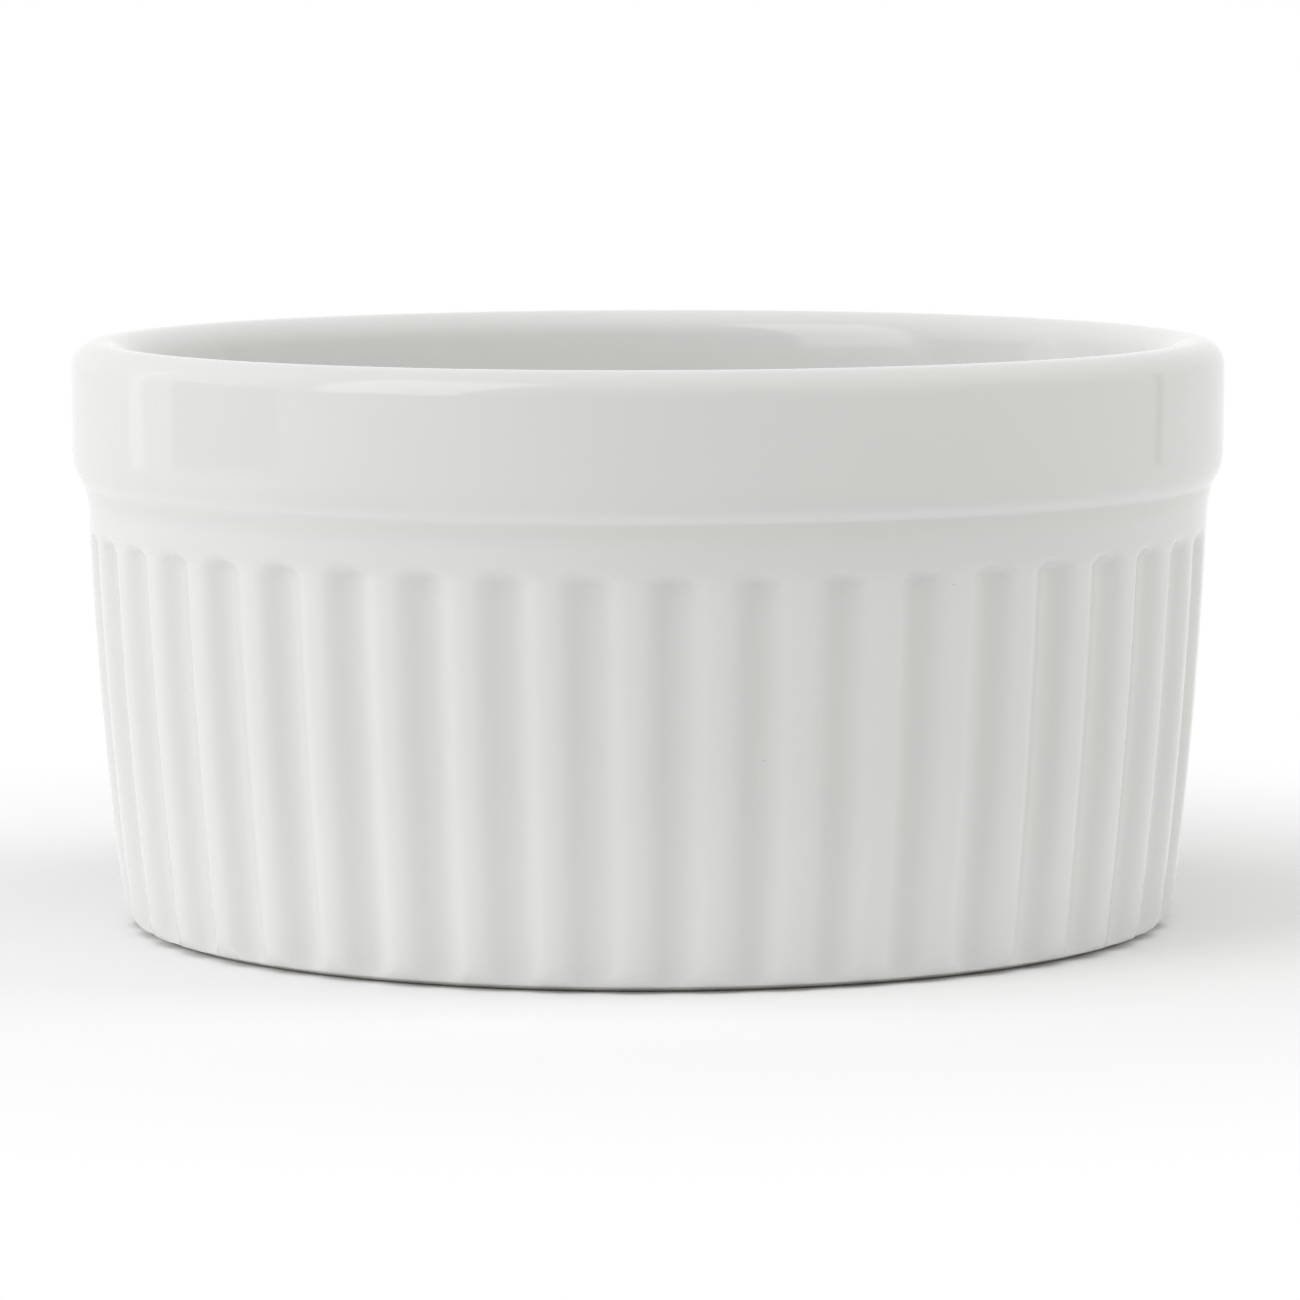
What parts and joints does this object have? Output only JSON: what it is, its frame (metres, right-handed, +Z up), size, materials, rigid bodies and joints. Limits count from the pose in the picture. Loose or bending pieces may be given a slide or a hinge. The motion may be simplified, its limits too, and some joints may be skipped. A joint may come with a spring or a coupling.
{
  "type": "ramekin",
  "caption": "Round straight-sided porcelain ramekin with a plain stepped rim band, a fluted outer wall and a flat floor, for baking and serving small portions.",
  "frame": {"origin": "on the table, at the centre of the foot ring", "axes": "+Z up the dish's axis, -Y towards the viewer with a rib between two flutes in the middle of that side"},
  "size_m": [0.09, 0.09, 0.0456],
  "materials": {
    "bare_porcelain": "unglazed, fine matt grain",
    "white_glaze": "gloss white glaze"
  },
  "bodies": {
    "root": {"porcelain_body": "bare_porcelain", "glaze_coat": "white_glaze", "base_glaze": "white_glaze"}
  },
  "joints": []
}
